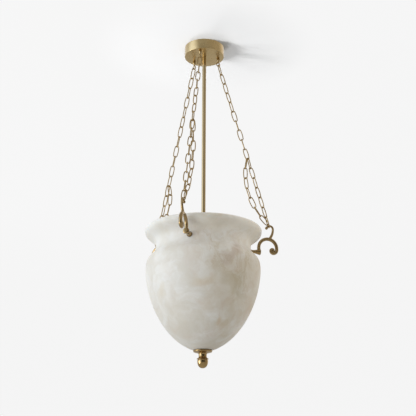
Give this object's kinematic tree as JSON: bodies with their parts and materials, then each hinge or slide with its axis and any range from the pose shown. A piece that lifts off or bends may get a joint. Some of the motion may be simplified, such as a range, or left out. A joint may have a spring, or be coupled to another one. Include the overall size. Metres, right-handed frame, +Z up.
{
  "type": "pendant light",
  "caption": "Pendant light: a turned alabaster bowl hung on doubled brass chains and scroll hooks from a round canopy, with a rod-held lampholder and an acorn finial.",
  "frame": {"origin": "centre of the ceiling bracket's bolt pattern, on the ceiling plane at the canopy's axis", "axes": "+Z up towards the ceiling, along the rod; the picture was taken from the -Y side, with +X to the right"},
  "size_m": [0.3232, 0.3215, 0.823],
  "materials": {
    "brass_satin": "satin brushed, lacquered",
    "brass_antique": "cast, antiqued",
    "brass_chain": "drawn wire, antiqued",
    "brass_polished": "turned and polished",
    "brass_plain": "machined",
    "alabaster": "turned and honed, cloudy veining",
    "steel": "zinc plated",
    "porcelain": "glazed",
    "felt": "pressed wool felt",
    "opal_glass": "opal",
    "bulb_tip": "black glass insulator",
    "terminal_plastic": "moulded",
    "wire_brown": "insulated wire",
    "wire_blue": "insulated wire",
    "wire_green": "insulated wire, striped"
  },
  "bodies": {
    "canopy": {"canopy_cup": "brass_satin", "ceiling_bracket": "steel", "canopy_screws": "steel", "rod_boss": "brass_plain", "rod_locknut": "brass_plain", "rod": "brass_satin", "canopy_eye_a": "brass_antique", "canopy_eye_b": "brass_antique", "canopy_eye_c": "brass_antique", "eye_nuts": "brass_plain", "terminal_block": "terminal_plastic", "terminal_screws": "steel", "wire_live": "wire_brown", "wire_neutral": "wire_blue", "wire_earth": "wire_green", "earth_screw": "steel", "lampholder_cap": "brass_satin", "lampholder_skirt": "brass_satin", "lampholder_core": "porcelain", "screw_shell": "brass_plain", "centre_contact": "brass_plain"},
    "bulb": {"bulb_globe": "opal_glass", "bulb_cap": "steel", "bulb_tip": "bulb_tip"},
    "chain_a_top": {"chain_a_top_link": "brass_chain"},
    "chain_a": {"chain_a_upper": "brass_chain", "chain_a_taut": "brass_chain", "chain_a_return": "brass_chain"},
    "chain_a_foot": {"chain_a_bottom_link": "brass_chain"},
    "bowl": {"bowl": "alabaster", "scroll_hook_a": "brass_antique", "scroll_hook_b": "brass_antique", "scroll_hook_c": "brass_antique", "hook_rosettes": "brass_antique", "hook_felts": "felt", "hook_studs": "steel", "hook_washers": "steel", "hook_nuts": "steel", "finial_flange": "brass_polished", "finial_gasket": "felt", "finial_stud": "steel", "finial_washer": "steel", "finial_nut": "steel", "finial_knob": "brass_polished"},
    "chain_b_top": {"chain_b_top_link": "brass_chain"},
    "chain_b": {"chain_b_upper": "brass_chain", "chain_b_taut": "brass_chain", "chain_b_return": "brass_chain", "chain_b_bottom_link": "brass_chain"},
    "chain_c_top": {"chain_c_top_link": "brass_chain"},
    "chain_c": {"chain_c_upper": "brass_chain", "chain_c_taut": "brass_chain", "chain_c_return": "brass_chain", "chain_c_bottom_link": "brass_chain"}
  },
  "joints": [
    {"name": "sway_front_back", "type": "hinge", "parent": "canopy", "child": "chain_a_top", "pos_m": [0.03673, 0.00916, -0.04492], "axis": [1, 0, 0], "range_deg": [-5, 5]},
    {"name": "sway_side", "type": "hinge", "parent": "chain_a_top", "child": "chain_a", "pos_m": [0.04405, 0.01098, -0.07002], "axis": [0, 1, 0], "range_deg": [-5, 5]},
    {"name": "hook_a_front_back", "type": "hinge", "parent": "chain_a", "child": "chain_a_foot", "pos_m": [0.1608, 0.04009, -0.46979], "axis": [1, 0, 0], "range_deg": [-1.34, 1.34]},
    {"name": "hook_a_side", "type": "hinge", "parent": "chain_a_foot", "child": "bowl", "pos_m": [0.1608, 0.04009, -0.46979], "axis": [0, 1, 0], "range_deg": [-1.57, 1.57]},
    {"name": "chain_b_front_back", "type": "hinge", "parent": "canopy", "child": "chain_b_top", "pos_m": [-0.02629, 0.02723, -0.04492], "axis": [1, 0, 0], "range_deg": [-5, 5]},
    {"name": "chain_b_side", "type": "hinge", "parent": "chain_b_top", "child": "chain_b", "pos_m": [-0.03154, 0.03266, -0.07002], "axis": [0, 1, 0], "range_deg": [-5, 5]},
    {"name": "chain_c_front_back", "type": "hinge", "parent": "canopy", "child": "chain_c_top", "pos_m": [-0.01043, -0.03638, -0.04492], "axis": [1, 0, 0], "range_deg": [-5, 5]},
    {"name": "chain_c_side", "type": "hinge", "parent": "chain_c_top", "child": "chain_c", "pos_m": [-0.01251, -0.04364, -0.07002], "axis": [0, 1, 0], "range_deg": [-5, 5]},
    {"name": "bulb_turn", "type": "hinge", "parent": "canopy", "child": "bulb", "pos_m": [0, 0, -0.6128], "axis": [0, 0, -1], "range_deg": [0, 1080]}
  ],
  "couplings": [
    {"joint": "hook_a_front_back", "follows": "sway_front_back", "ratio": -0.2284},
    {"joint": "hook_a_side", "follows": "sway_side", "ratio": -0.27397},
    {"joint": "chain_b_front_back", "follows": "sway_front_back", "ratio": 1},
    {"joint": "chain_b_side", "follows": "sway_side", "ratio": 1},
    {"joint": "chain_c_front_back", "follows": "sway_front_back", "ratio": 1},
    {"joint": "chain_c_side", "follows": "sway_side", "ratio": 1}
  ]
}
